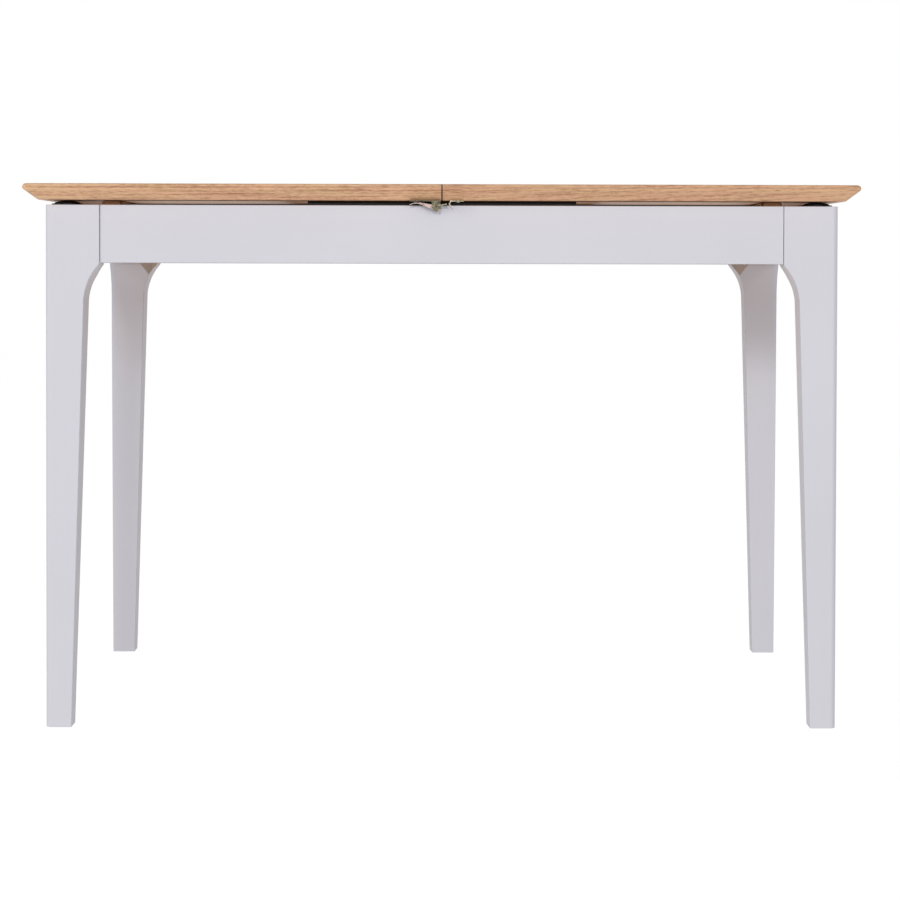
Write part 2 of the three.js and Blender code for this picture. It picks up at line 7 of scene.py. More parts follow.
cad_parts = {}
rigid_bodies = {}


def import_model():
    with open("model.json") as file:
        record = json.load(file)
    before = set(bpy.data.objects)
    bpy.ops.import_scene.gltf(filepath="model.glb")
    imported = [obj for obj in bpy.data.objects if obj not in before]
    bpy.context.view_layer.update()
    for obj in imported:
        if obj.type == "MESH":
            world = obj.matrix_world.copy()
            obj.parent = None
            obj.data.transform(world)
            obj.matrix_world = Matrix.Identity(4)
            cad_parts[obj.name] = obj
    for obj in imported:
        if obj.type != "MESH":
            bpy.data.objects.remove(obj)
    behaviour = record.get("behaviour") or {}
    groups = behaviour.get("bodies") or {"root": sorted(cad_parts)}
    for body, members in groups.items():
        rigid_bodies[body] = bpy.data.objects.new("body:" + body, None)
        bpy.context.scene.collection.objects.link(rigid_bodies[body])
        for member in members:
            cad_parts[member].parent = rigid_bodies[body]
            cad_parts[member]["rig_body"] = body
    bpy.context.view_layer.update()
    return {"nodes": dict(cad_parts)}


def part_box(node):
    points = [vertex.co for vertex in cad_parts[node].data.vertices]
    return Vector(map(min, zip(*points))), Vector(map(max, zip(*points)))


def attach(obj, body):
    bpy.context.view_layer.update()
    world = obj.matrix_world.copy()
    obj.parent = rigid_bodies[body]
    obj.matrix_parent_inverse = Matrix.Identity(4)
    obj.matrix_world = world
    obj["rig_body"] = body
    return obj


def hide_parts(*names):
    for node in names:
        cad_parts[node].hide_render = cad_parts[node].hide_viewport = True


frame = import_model()
sidesX = {"left": -1, "right": 1}
sidesY = {"front": -1, "back": 1}
corners = [(nameY + "_" + nameX, sideX, sideY)
           for nameY, sideY in sidesY.items() for nameX, sideX in sidesX.items()]


def clearSelection():
    bpy.ops.object.select_all(action="DESELECT")


def activate(piece):
    clearSelection()
    piece.select_set(True)
    bpy.context.view_layer.objects.active = piece


def applyPlace(piece):
    activate(piece)
    bpy.ops.object.transform_apply(location=True, rotation=True, scale=True)
    return piece


def startShape(name, add, centre, scale=(1, 1, 1), turn=(0, 0, 0), **settings):
    clearSelection()
    add(**settings)
    piece = bpy.context.object
    piece.name = name
    piece.location = centre
    piece.rotation_euler = turn
    piece.scale = scale
    return applyPlace(piece)


def startBox(name, low, high):
    low, high = Vector(low), Vector(high)
    return startShape(name, bpy.ops.mesh.primitive_cube_add, (low + high) / 2, high - low, size=1)


def startRod(name, start, end, radius, vertices):
    start, end = Vector(start), Vector(end)
    turn = (end - start).to_track_quat("Z", "Y").to_euler()
    return startShape(name, bpy.ops.mesh.primitive_cylinder_add, (start + end) / 2, turn=turn,
                      radius=radius, depth=(end - start).length, vertices=vertices)


def edit(piece, mode="FACE"):
    activate(piece)
    bpy.ops.object.mode_set(mode="EDIT")
    bpy.ops.mesh.select_mode(type=mode)
    bpy.ops.mesh.select_all(action="DESELECT")


def leaveEdit():
    bpy.ops.object.mode_set(mode="OBJECT")


def pickFaces(piece, wanted):
    edit(piece)
    leaveEdit()
    for face in piece.data.polygons:
        face.select = wanted(face.center, face.normal)
    bpy.ops.object.mode_set(mode="EDIT")


def pickEdges(piece, wanted):
    edit(piece, "EDGE")
    leaveEdit()
    points = piece.data.vertices
    for edge in piece.data.edges:
        edge.select = wanted(*(points[i].co for i in edge.vertices))
    bpy.ops.object.mode_set(mode="EDIT")


def roundEdges(piece, wanted, radius, segments):
    pickEdges(piece, wanted)
    bpy.ops.mesh.bevel(offset=radius, segments=segments, affect="EDGES")
    leaveEdit()


def faceOutwards(piece):
    edit(piece)
    bpy.ops.mesh.select_all(action="SELECT")
    bpy.ops.mesh.normals_make_consistent(inside=False)
    leaveEdit()


def rises(a, b):
    return abs(a.z - b.z) > 1e-6


def onPlane(axis, place, reach=1e-5):
    return lambda a, b: abs(a[axis] - place) < reach and abs(b[axis] - place) < reach


def applyModifier(piece, kind, **settings):
    activate(piece)
    modifier = piece.modifiers.new(kind.title(), kind)
    for key, value in settings.items():
        setattr(modifier, key, value)
    bpy.ops.object.modifier_apply(modifier=modifier.name)


def cutAway(piece, tools):
    for tool in tools:
        applyModifier(piece, "BOOLEAN", operation="DIFFERENCE", solver="EXACT", object=tool)
        bpy.data.objects.remove(tool)


def joinShapes(name, shapes):
    activate(shapes[0])
    for shape in shapes:
        shape.select_set(True)
    bpy.ops.object.join()
    shapes[0].name = name
    return shapes[0]


def smooth(piece, crease=32):
    # edges that turn by more than the crease stay sharp
    activate(piece)
    bpy.ops.object.shade_smooth_by_angle(angle=math.radians(crease))
    applyModifier(piece, "WEIGHTED_NORMAL", keep_sharp=True, weight=60)
    return piece


def copyShape(source, name, place=None):
    piece = bpy.data.objects.new(name, source.data.copy())
    bpy.context.scene.collection.objects.link(piece)
    if place is not None:
        piece.matrix_world = place
        mirrored = place.determinant() < 0
        applyPlace(piece)
        if mirrored:
            faceOutwards(piece)
    return piece


def middleOf(node):
    low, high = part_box(node)
    return (low + high) / 2


def seat(piece, node, finish, stands=True):
    # a finished piece gets the finish given and takes its body from a node of the frame, whose own shape
    # it hides when it stands in for it
    piece.data.materials.clear()
    piece.data.materials.append(finish)
    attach(piece, frame["nodes"][node]["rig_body"])
    if stands:
        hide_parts(node)
    return piece


def easedCopy(node, radius, segments):
    # the node's own shape with its doubles merged and its edges eased
    piece = copyShape(frame["nodes"][node], node + "_finished")
    edit(piece)
    bpy.ops.mesh.select_all(action="SELECT")
    bpy.ops.mesh.remove_doubles(threshold=1e-6)
    bpy.ops.mesh.dissolve_limited(angle_limit=math.radians(0.6))
    leaveEdit()
    applyModifier(piece, "BEVEL", width=radius, segments=segments, limit_method="ANGLE",
                  angle_limit=math.radians(34), use_clamp_overlap=True)
    return smooth(piece)


class Signal:
    # one output of a node, so that shader maths reads as plain arithmetic
    def __init__(self, graph, socket):
        self.graph = graph
        self.socket = socket

    def maths(self, operation, *values):
        return self.graph.node("Math", {"operation": operation}, dict(enumerate(values)))

    def __add__(self, other):
        return self.maths("ADD", self, other)

    def __sub__(self, other):
        return self.maths("SUBTRACT", self, other)

    def __rsub__(self, other):
        return self.maths("SUBTRACT", other, self)

    def __mul__(self, other):
        return self.maths("MULTIPLY", self, other)

    def __truediv__(self, other):
        return self.maths("DIVIDE", self, other)

    __radd__ = __add__
    __rmul__ = __mul__

    def floor(self):
        return self.maths("FLOOR", self)

    def fraction(self):
        return self.maths("FRACT", self)

    def size(self):
        return self.maths("ABSOLUTE", self)

    def root(self):
        return self.maths("SQRT", self)

    def fade(self, start, end):
        # 0 at start and 1 at end, eased between them
        inputs = {"Value": self, "From Min": start, "From Max": end}
        return self.graph.node("MapRange", {"interpolation_type": "SMOOTHSTEP"}, inputs)


class Graph:
    # the nodes of one material or of the world
    def __init__(self, tree):
        self.tree = tree

    def feed(self, target, value):
        if isinstance(value, Signal):
            self.tree.links.new(value.socket, target)
        else:
            target.default_value = value

    def node(self, kind, settings, inputs, output=0):
        made = self.tree.nodes.new("ShaderNode" + kind)
        for key, value in settings.items():
            setattr(made, key, value)
        for key, value in inputs.items():
            self.feed(made.inputs[key], value)
        return Signal(self, made.outputs[output])

    def place(self, turn=(0, 0, 0)):
        spot = self.node("TexCoord", {}, {}, "Object")
        return self.node("Mapping", {}, {"Vector": spot, "Rotation": turn})

    def split(self, vector):
        made = self.node("SeparateXYZ", {}, {"Vector": vector})
        return [Signal(self, output) for output in made.socket.node.outputs]

    def noise(self, vector, pattern):
        # a pattern is its fineness along and across the grain, its detail and its roughness
        along, across, detail, roughness = pattern
        fineness = (along, across, across)
        scaled = self.node("VectorMath", {"operation": "MULTIPLY"}, {0: vector, 1: fineness})
        inputs = {"Vector": scaled, "Scale": 1.0, "Detail": detail, "Roughness": roughness}
        return self.node("TexNoise", {}, inputs)

    def mix(self, factor, first, second, blend="MIX"):
        settings = {"data_type": "RGBA", "blend_type": blend}
        return self.node("Mix", settings, {0: factor, 6: first, 7: second}, 2)


class Finish(Graph):
    # a material with one surface shader
    def __init__(self, name, roughness=0.5, metallic=0.0):
        self.material = bpy.data.materials.new(name)
        self.material.use_nodes = True
        super().__init__(self.material.node_tree)
        self.surface = self.tree.nodes["Principled BSDF"].inputs
        self.set("Roughness", roughness)
        self.set("Metallic", metallic)

    def set(self, name, value):
        self.feed(self.surface[name], value)

    def bump(self, height, distance, strength=1.0):
        inputs = {"Height": height, "Distance": distance, "Strength": strength}
        self.set("Normal", self.node("Bump", {}, inputs))


def colour(red, green, blue):
    # a display colour of 0 to 255, in the linear values that shaders take
    channels = [c / 255 for c in (red, green, blue)]
    return [c / 12.92 if c <= 0.04045 else ((c + 0.055) / 1.055) ** 2.4 for c in channels] + [1.0]


alongX = (0, 0, 0)
alongY = (0, 0, math.pi / 2)
alongZ = (0, math.pi / 2, 0)

oakLook = {
    "light": colour(242, 197, 157), "dark": colour(166, 114, 78), "pore": colour(120, 74, 46),
    "rosy": colour(255, 247, 246), "straw": colour(252, 252, 245), "tone": 0.2, "streak": 1.7,
    "stave": 0.1,                # width of the glued boards
    "glue": (0.4965, 0.4985),    # where the glue line starts, in staves from a stave's middle
    "ring": 0.0052,              # a year's growth
    "heart": 0.14, "depth": 0.03, "depthDraw": 0.07, "tilt": 0.012,     # where the pith lies
    "bow": 0.02, "bend": 0.006,                                         # and how far it wanders
    "lean": 0.0,                 # how steeply the grain climbs along the front and back edges
    "fieldLean": 0.15, "edgeBand": (0.33, 0.385),                       # its share between them
    "turn": alongX, "seed": 0, "roughness": 0.42, "grainDeep": 0.00022,
}
# The halves of the top have a painted shadow line beside their seam and painted shade towards the middle
# of their underside
topLook = dict(oakLook, seam=0.0009, seamSoft=0.0005, seamFace=(0.0002, 0.0003),
               seamGapShadow=colour(70, 24, 4), underside=0.7622, undersideSoft=0.0002,
               undersideShadowBand=(0.15, 0.31), undersideShadow=colour(196, 184, 176))
plainLook = dict(oakLook, light=colour(206, 160, 116), dark=colour(158, 110, 72), streak=0.5,
                 pore=colour(116, 76, 48), ring=0.0062, stave=0.3, roughness=0.62, seed=9)

woodPatterns = {
    "bow": (1.6, 7, 2, 0.5), "bend": (7, 20, 2, 0.5),       # long and short bends of the rings
    "waver": (9, 60, 2, 0.5),                               # unevenness of a ring's edge
    "spread": (0.7, 26, 2, 0.5),                            # years of fast and of slow growth
    "patch": (10, 42, 3, 0.5),                              # where the rings show more or less
    "fibre": (9, 700, 3, 0.6), "streak": (8, 240, 3, 0.62), "pore": (55, 2100, 1, 0.5),
    "fleck": (5, 62, 4, 0.66), "shortFleck": (90, 420, 2, 0.5), "tick": (300, 760, 1, 0.5),
    "cloud": (3.5, 22, 2, 0.5), "hue": (9, 95, 3, 0.5),     # slow changes of tone and of tint
}


# Growth rings round a pith that has its own place under each stave, and the stave's own tone
def growthRings(wood, look, spot, x, y, z):
    stave = (y / look["stave"]).floor()
    draw = wood.node("TexWhiteNoise", {"noise_dimensions": "1D"}, {"W": stave + look["seed"]}, "Color")
    toneDraw, heartDraw, tiltDraw = wood.split(draw)
    wander = (wood.noise(spot, woodPatterns["bow"]) - 0.5) * look["bow"] \
        + (wood.noise(spot, woodPatterns["bend"]) - 0.5) * look["bend"]
    across = y - (stave + 0.5) * look["stave"] + (heartDraw - 0.5) * look["heart"] + wander
    depth = z + look["depth"] + tiltDraw * look["depthDraw"] + x * ((toneDraw - 0.5) * look["tilt"])
    radius = (across * across + depth * depth).root()
    waver = wood.noise(spot, woodPatterns["waver"]) - 0.5
    spread = wood.noise(spot, woodPatterns["spread"]) - 0.5
    return (radius / look["ring"] + waver * 0.9 + spread * 3.4).fraction(), toneDraw


# Painted shadow beside the seam, but not on its very face, and painted shade in the underside's middle
def topExtras(wood, look, surface, x, y, z):
    # painted shadow: a dark line beside the seam, as the narrow gap there would cast
    beside = 1 - x.size().fade(look["seam"], look["seam"] + look["seamSoft"])
    surface = wood.mix(x.size().fade(*look["seamFace"]) * beside, surface, look["seamGapShadow"])
    below = 1 - z.fade(look["underside"], look["underside"] + look["undersideSoft"])
    # painted shade: the underside darkens towards its middle, where little light reaches
    raw = (1 - y.size().fade(*look["undersideShadowBand"])) * below
    return wood.mix(raw, surface, look["undersideShadow"], "MULTIPLY")


# Ring-porous timber as a solid: early and late growth, fibres, streaks, pores and glue lines
def timber(name, look):
    wood = Finish(name)
    x, y, height = wood.split(wood.place(look["turn"]))
    inField = look["lean"] * look["fieldLean"]
    z = height - x * (y.size().fade(*look["edgeBand"]) * (look["lean"] - inField) + inField)
    spot = wood.node("CombineXYZ", {}, {0: x, 1: y, 2: z})
    ring, toneDraw = growthRings(wood, look, spot, x, y, z)
    early = 1 - ring.fade(0.0, 0.5)         # the open wood of spring
    onset = ring.fade(0.88, 1.0)            # the end of a year, dark before the next ring
    patch, fibre, streak, pore, fleck, shortFleck, tick, cloud, hue = (
        wood.noise(spot, woodPatterns[kind])
        for kind in ("patch", "fibre", "streak", "pore", "fleck", "shortFleck", "tick", "cloud", "hue"))
    grain = (early * 0.7 + onset * 0.45) * (patch.fade(0.3, 0.68) * 0.75 + 0.25)
    marks = streak - 0.5 + fleck * 0.7 + shortFleck - 0.85 + (tick - 0.5) * 0.4
    pores = pore.fade(0.56, 0.66) * (early * 0.85 + 0.12)
    shade = grain * 0.55 + fibre * 0.3 + marks * look["streak"] - 0.02
    body = wood.mix(shade, look["light"], look["dark"])
    toned = wood.mix(toneDraw * look["tone"] + cloud * 0.16 - 0.04, body, look["dark"])
    tint = wood.mix(hue.fade(0.36, 0.64), look["rosy"], look["straw"])
    pored = wood.mix(pores * 0.5, wood.mix(1.0, toned, tint, "MULTIPLY"), look["pore"])
    glue = ((y / look["stave"]).fraction() - 0.5).size().fade(*look["glue"])
    surface = wood.mix(glue * 0.35, pored, look["pore"])
    if "seam" in look:
        surface = topExtras(wood, look, surface, x, y, height)
    wood.set("Base Color", surface)
    wood.set("Roughness", look["roughness"] + fibre * 0.1 - early * 0.05 + pores * 0.2)
    wood.bump(fibre * 0.25 - pores * 0.9 - early * 0.3 - glue * 0.8, look["grainDeep"], 0.5)
    return wood.material


paintLook = {
    "colour": colour(214, 213, 221), "shade": colour(205, 204, 212), "roughness": 0.5,
    "raw": colour(212, 197, 186), "rawShade": colour(184, 168, 156), "bareEdge": 0.0008,
    "wrap": 0.007, "wrapEdge": 0.001,       # how far paint comes round the aprons' lower edges
    # painted shade: the warm tint that darkens the paint inside the frame towards the top
    "warmBounceShade": colour(255, 246, 240), "bounceShadeHeights": (0.4, 0.72),
    "outsideX": 0.562, "outsideY": 0.362, "outsideSoft": 0.006,
    "grain": (4, 170, 4, 0.62), "brush": (26, 900, 2, 0.5), "cloud": (5, 5, 3, 0.5),
    "grainDeep": 0.00016,
}


# Satin paint that lets the timber's grain tell faintly. The timber is bare where |x| and |y|,
# each times its weight, add up to less than the limit, above the height the paint wraps round to.
def painted(name, turn, weightX, weightY, limit, wrap=0.0):
    paint = Finish(name)
    spot = paint.place(turn)
    grain, brush, cloud = (paint.noise(spot, paintLook[kind]) for kind in ("grain", "brush", "cloud"))
    coat = paint.mix(cloud * 0.55 + grain * 0.3, paintLook["colour"], paintLook["shade"])
    x, y, z = paint.split(paint.place())
    # painted shade: warmer and a little darker on the faces inside the frame, towards the top, standing in
    # for bounce light off the wood
    inside = z.fade(*paintLook["bounceShadeHeights"])
    for distance, edge in ((x.size(), paintLook["outsideX"]), (y.size(), paintLook["outsideY"])):
        inside = inside * (1 - distance.fade(edge, edge + paintLook["outsideSoft"]))
    coat = paint.mix(inside, coat, paintLook["warmBounceShade"], "MULTIPLY")
    reach = x.size() * weightX + y.size() * weightY
    bare = (1 - reach.fade(limit, limit + paintLook["bareEdge"])) \
        * z.fade(wrap, wrap + paintLook["wrapEdge"])
    wood = paint.mix(grain * 1.6 - 0.4, paintLook["raw"], paintLook["rawShade"])
    paint.set("Base Color", paint.mix(bare, coat, wood))
    paint.set("Roughness", paintLook["roughness"] - 0.06 + cloud * 0.12 + brush * 0.04 + bare * 0.25)
    paint.bump(grain * 0.8 + brush * 0.2, paintLook["grainDeep"], 0.35)
    return paint.material


# painted highlight: the band of heights where the slide steel is drawn lighter, as if lit
slideLook = {"lipLow": 0.7542, "lipHigh": 0.7586, "edge": 0.0004, "lip": colour(74, 71, 69)}
metalLook = {"drawn": (30, 1400, 3, 0.6), "stainDetail": (4, 0.6), "marksDeep": 0.00003}


# Drawn or cast metal with stains of the size that mottle sets. The slide steel gets a painted
# highlight: lighter between the heights in slideLook, where its lower lip catches light.
def metal(name, tint, shade, roughness, metallic=1.0, mottle=160, lip=False):
    steel = Finish(name, metallic=metallic)
    spot = steel.place()
    drawn = steel.noise(spot, metalLook["drawn"])
    stain = steel.noise(spot, (mottle, mottle) + metalLook["stainDetail"])
    coat = steel.mix(stain.fade(0.36, 0.66), tint, shade)
    if lip:
        # painted highlight on the slide's lower lip
        height, soft = steel.split(spot)[2], slideLook["edge"]
        within = height.fade(slideLook["lipLow"], slideLook["lipLow"] + soft) \
            * (1 - height.fade(slideLook["lipHigh"], slideLook["lipHigh"] + soft))
        coat = steel.mix(within, coat, slideLook["lip"])
    steel.set("Base Color", coat)
    steel.set("Roughness", roughness - 0.08 + drawn * 0.1 + stain * 0.12)
    steel.bump(drawn * 0.6 + stain * 0.4, metalLook["marksDeep"], 0.5)
    return steel.material


plasticLook = {
    "black": colour(12, 11, 14), "scuffed": colour(26, 25, 28), "roughness": 0.34, "sheen": 0.25,
    "pebble": (1500, 1500, 2, 0.5), "scuff": (60, 60, 4, 0.65), "pebbleDeep": 0.00004,
}


def mouldedPlastic(name):
    plastic = Finish(name)
    spot = plastic.place()
    pebble = plastic.noise(spot, plasticLook["pebble"])
    scuff = plastic.noise(spot, plasticLook["scuff"])
    worn = scuff.fade(0.45, 0.8)
    plastic.set("Base Color", plastic.mix(worn, plasticLook["black"], plasticLook["scuffed"]))
    plastic.set("Roughness", plasticLook["roughness"] + scuff * 0.2)
    plastic.set("Specular IOR Level", plasticLook["sheen"])
    plastic.bump(pebble, plasticLook["pebbleDeep"], 0.5)
    return plastic.material


legShape = {
    "foot": 0.037, "knee": 0.055, "kneeHeight": 0.612, "kneeRadius": 0.084, "shoulder": 0.009,
    "taperRings": (0.2, 0.4, 0.58), "kneeRings": 33, "kneeStep": 0.002, "kneeRise": 0.066,
    "outerRadius": 0.008, "edgeRadius": 0.0012, "topRim": 0.0009, "footRim": 0.0011,
    "chamfer": 0.026, "planeSize": 0.12, "planeOver": 0.01, "boltHole": 0.0043, "boltReach": 0.04,
}
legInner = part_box("leg_back_right")[0]
chamferPlane = legInner.x + legInner.y + legShape["chamfer"]
insideX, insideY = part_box("apron_right")[0].x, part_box("apron_back")[0].y
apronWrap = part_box("apron_back")[0].z + paintLook["wrap"]

finishes = {
    "legPaint": painted("leg_paint", alongZ, 1, 1, chamferPlane),
    "longPaint": painted("long_apron_paint", alongX, 0, 1, insideY, apronWrap),
    "endPaint": painted("end_apron_paint", alongY, 1, 0, insideX, apronWrap),
    "oakLeft": timber("oak_top_left", dict(topLook, seed=3, lean=0.004, tone=0.4)),
    "oakRight": timber("oak_top_right", dict(topLook, seed=41, lean=0.067)),
    "oakLeaf": timber("oak_leaf", dict(oakLook, seed=77, lean=0.01)),
    "woodX": timber("plain_wood_long", plainLook),
    "woodY": timber("plain_wood_cross", dict(plainLook, turn=alongY)),
    "dowelWood": timber("dowel_beech", dict(plainLook, light=colour(222, 190, 152), ring=0.002)),
    "blackSteel": metal("black_steel", colour(20, 20, 22), colour(31, 30, 32), 0.4, 0.75),
    "slideSteel": metal("slide_steel", colour(22, 18, 14), colour(32, 28, 24), 0.42, 0.75, lip=True),
    "platedSteel": metal("plated_steel", colour(186, 188, 190), colour(150, 151, 152), 0.3),
    "catchZinc": metal("catch_zinc", colour(176, 171, 150), colour(112, 104, 84), 0.38, 0.85, 300),
    "catchSteel": metal("catch_steel", colour(176, 158, 153), colour(146, 128, 122), 0.5, 0.7),
    "catchOlive": metal("catch_olive", colour(112, 105, 84), colour(30, 26, 18), 0.4, 0.7, 420),
    "blackPlastic": mouldedPlastic("black_plastic"),
}
print("finishes made")


# Width of the square leg at a height: straight taper, hollow knee, round shoulder, block
def legWidth(height, block):
    foot, knee, kneeHeight = legShape["foot"], legShape["knee"], legShape["kneeHeight"]
    radius, shoulder = legShape["kneeRadius"], legShape["shoulder"]
    both = radius + shoulder
    rise = math.sqrt(both ** 2 - (both - block + knee) ** 2)
    above = height - kneeHeight
    if above <= 0:
        return foot + (knee - foot) * height / kneeHeight
    if above <= rise * radius / both:
        return knee + radius - math.sqrt(radius ** 2 - above ** 2)
    if above >= rise:
        return block
    return block - shoulder + math.sqrt(shoulder ** 2 - (above - rise) ** 2)


# The inner corner is planed off from the knee up for the brace, and drilled for its bolt
def cornerTools(inner, top):
    knee, size = legShape["kneeHeight"], legShape["planeSize"]
    reach = top - knee + legShape["planeOver"]
    face = inner - Vector((1, 1, 0)) * legShape["chamfer"] / 2
    centre = face + Vector((1, 1, 0)).normalized() * size / 2
    centre.z = knee + reach / 2
    plane = startShape("chamfer_tool", bpy.ops.mesh.primitive_cube_add, centre, (size, size, reach),
                       (0, 0, math.pi / 4), size=1)
    bolt = middleOf("brace_bolt_front_left")
    along = Vector((-1, -1, 0)).normalized()
    hole = startRod("hole_tool", bolt, bolt + along * legShape["boltReach"], legShape["boltHole"], 24)
    return [plane, hole]


# The front left leg, drawn up ring by ring about its outer corner
def modelLeg():
    low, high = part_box("leg_front_left")
    block, foot, knee = high.x - low.x, legShape["foot"], legShape["kneeHeight"]
    outer = Vector((low.x, low.y, 0))
    leg = startShape("leg", bpy.ops.mesh.primitive_plane_add,
                     outer + Vector((foot / 2, foot / 2, 0)), (foot, foot, 1), size=1)
    heights = list(legShape["taperRings"])
    heights += [knee + legShape["kneeStep"] * i for i in range(legShape["kneeRings"])]
    heights += [knee + legShape["kneeRise"], high.z]
    edit(leg)
    bpy.ops.mesh.select_all(action="SELECT")
    reached, width = 0.0, foot
    for height in heights:
        nextWidth = legWidth(height, block)
        bpy.ops.mesh.extrude_region_move(TRANSFORM_OT_translate={"value": (0, 0, height - reached)})
        bpy.ops.transform.resize(value=(nextWidth / width, nextWidth / width, 1), center_override=outer)
        reached, width = height, nextWidth
    leaveEdit()
    faceOutwards(leg)
    roundEdges(leg, lambda a, b: rises(a, b) and (a - outer).xy.length + (b - outer).xy.length < 1e-5,
               legShape["outerRadius"], 8)
    roundEdges(leg, lambda a, b: rises(a, b) and (a - outer).xy.length > foot * 0.9,
               legShape["edgeRadius"], 4)
    roundEdges(leg, onPlane(2, high.z), legShape["topRim"], 3)
    roundEdges(leg, onPlane(2, 0), legShape["footRim"], 3)
    cutAway(leg, cornerTools(outer + Vector((block, block, 0)), high.z))
    return leg


# Seats a copy of a piece from the front left corner at each corner
def seatAtCorners(piece, name, node, finish, crease=32):
    for corner, sideX, sideY in corners:
        turned = Matrix.Diagonal((-sideX, -sideY, 1, 1))
        seat(smooth(copyShape(piece, name + corner, turned), crease), node + corner, finish)
    bpy.data.objects.remove(piece)


seatAtCorners(modelLeg(), "painted_leg_", "leg_", finishes["legPaint"])
print("legs modelled")


apronShape = {"edge": 0.001, "end": 0.0009}
memberShape = {"edge": 0.003, "end": 0.0012}
# radius and steps of the eased edges on the pieces that keep their own shape
easedEdges = {
    "brace": (0.0012, 3), "slide": (0.0003, 2), "leafPlate": (0.0003, 2), "hinge": (0.0002, 1),
    "catch": (0.00025, 2),
}


def modelBar(name, node, axis, shape):
    low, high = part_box(node)
    bar = startBox(name, low, high)
    roundEdges(bar, lambda a, b: abs(a[axis] - b[axis]) > 1e-6, shape["edge"], 4)
    roundEdges(bar, lambda a, b: onPlane(axis, low[axis])(a, b) or onPlane(axis, high[axis])(a, b),
               shape["end"], 2)
    return smooth(bar)


for name in sidesY:
    seat(modelBar("painted_apron_" + name, "apron_" + name, 0, apronShape),
         "apron_" + name, finishes["longPaint"])
for name in sidesX:
    seat(modelBar("painted_apron_" + name, "apron_" + name, 1, apronShape),
         "apron_" + name, finishes["endPaint"])
    for member in ("cross_rail_", "cross_bearer_"):
        seat(modelBar("wood_" + member + name, member + name, 1, memberShape),
             member + name, finishes["woodY"])
seat(modelBar("wood_leaf_rest", "leaf_rest", 0, memberShape), "leaf_rest", finishes["woodX"])
for name, sideX, sideY in corners:
    node = "corner_brace_" + name
    seat(easedCopy(node, *easedEdges["brace"]), node, finishes["woodY"])
print("frame members modelled")


boardShape = {
    "bevelRun": 0.0197, "softRun": 0.0183, "softRise": 0.0007,
    "nose": 0.005, "noseFrom": -54, "noseSteps": 12,    # radius, first angle and steps of the nose
    "corner": 0.006, "cornerReach": 0.03, "arris": 0.0005, "longEdge": 0.1, "seamHalf": 0.00015,
    "dowelHole": 0.0043, "dowelSeat": 0.0203, "toolOver": 0.002, "crease": 24,
}


# Insets and heights of the shaped edge, from the underside up
def edgeSteps(thickness):
    nose, start, rings = boardShape["nose"], boardShape["noseFrom"], boardShape["noseSteps"]
    steps = [(boardShape["bevelRun"], 0), (boardShape["softRun"], boardShape["softRise"])]
    for i in range(rings + 1):
        angle = math.radians(start + (90 - start) * i / rings)
        steps.append((nose * (1 - math.cos(angle)), thickness - nose * (1 - math.sin(angle))))
    return steps


# still is the point that the shaped edges shrink towards; shapedX and shapedY count those edges
def modelBoard(name, low, high, still, shapedX, shapedY):
    span = high - low
    steps = edgeSteps(span.z)
    first = steps[0][0]
    size = Vector((span.x - shapedX * first, span.y - shapedY * first, 1))
    centre = (low + high) / 2
    start = Vector([still[i] + (centre[i] - still[i]) * size[i] / span[i] for i in (0, 1)] + [low.z])
    board = startShape(name, bpy.ops.mesh.primitive_plane_add, start, size, size=1)
    edit(board)
    bpy.ops.mesh.select_all(action="SELECT")
    inset, height = steps[0]
    for nextInset, nextHeight in steps[1:]:
        bpy.ops.mesh.extrude_region_move(TRANSFORM_OT_translate={"value": (0, 0, nextHeight - height)})
        scale = ((span.x - shapedX * nextInset) / (span.x - shapedX * inset),
                 (span.y - shapedY * nextInset) / (span.y - shapedY * inset), 1)
        bpy.ops.transform.resize(value=scale, center_override=still)
        inset, height = nextInset, nextHeight
    bpy.ops.mesh.select_all(action="SELECT")
    bpy.ops.mesh.dissolve_limited(angle_limit=math.radians(0.1))
    leaveEdit()
    faceOutwards(board)
    return board


# Takes the sharpness off the long edges of a square end
def easeEnd(board, end):
    roundEdges(board, lambda a, b: onPlane(0, end)(a, b) and not rises(a, b)
               and abs(a.y - b.y) > boardShape["longEdge"], boardShape["arris"], 2)


# Tools for the holes of some dowels in the end at x, which faces to one side
def dowelHoles(nodes, x, side):
    holes = []
    for node in nodes:
        middle = middleOf(node)
        place = Vector((x, middle.y, middle.z))
        deep = place - Vector((side * boardShape["dowelSeat"], 0, 0))
        out = place + Vector((side * boardShape["toolOver"], 0, 0))
        holes.append(startRod("hole_tool", deep, out, boardShape["dowelHole"], 24))
    return holes


seamDowels = ["seam_dowel_%d" % i for i in (1, 2, 3, 4)]
for name, side in sidesX.items():
    low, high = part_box("top_" + name)
    seam = side * boardShape["seamHalf"]
    if side > 0:
        low.x = seam
    else:
        high.x = seam
    board = modelBoard("oak_top_" + name, low, high, (seam, 0, low.z), 1, 2)
    nearTip = onPlane(0, high.x if side > 0 else low.x, boardShape["cornerReach"])
    roundEdges(board, lambda a, b: rises(a, b) and nearTip(a, b), boardShape["corner"], 6)
    easeEnd(board, seam)
    cutAway(board, dowelHoles(seamDowels, seam, -side))
    seat(smooth(board, boardShape["crease"]), "top_" + name, finishes["oak" + name.title()])
print("top modelled")

armPocket = {"deep": 0.004, "reach": 0.03, "high": 0.0185, "toolBelow": 0.001}
leafDowels = ["leaf_dowel_upper_1", "leaf_dowel_upper_2"]


def armPocketTool(end, side, low):
    middle = middleOf("leaf_arm_left").y
    inner, outer = sorted((end - side * armPocket["deep"], end + side * boardShape["toolOver"]))
    return startBox("pocket_tool", (inner, middle - armPocket["reach"], low - armPocket["toolBelow"]),
                    (outer, middle + armPocket["reach"], low + armPocket["high"]))


